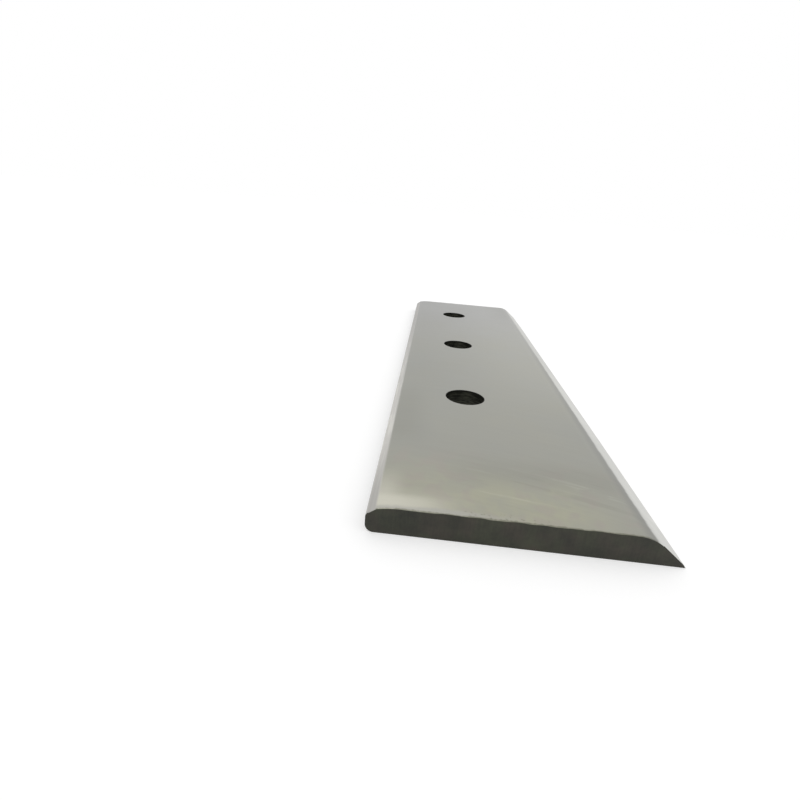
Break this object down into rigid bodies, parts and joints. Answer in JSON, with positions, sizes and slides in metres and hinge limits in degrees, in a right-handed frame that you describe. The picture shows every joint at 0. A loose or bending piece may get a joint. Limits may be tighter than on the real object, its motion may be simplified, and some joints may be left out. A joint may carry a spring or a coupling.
{
  "type": "wood chipper blade",
  "caption": "Flat steel chipper knife with one ground cutting bevel along its long side and a line of plain bolt holes, for bolting to a chipper's drum or disc.",
  "frame": {"origin": "centre of the underside's bounding rectangle", "axes": "+X across the bar to the cutting edge, +Y along the bar away from the end with the longer stretch before its first hole, +Z from the flat underside to the bevelled face"},
  "size_m": [0.1, 0.35, 0.01],
  "materials": {
    "ground_steel": "surface-ground tool steel, satin, with dark cut ends"
  },
  "bodies": {
    "root": {"blade": "ground_steel"}
  },
  "joints": []
}
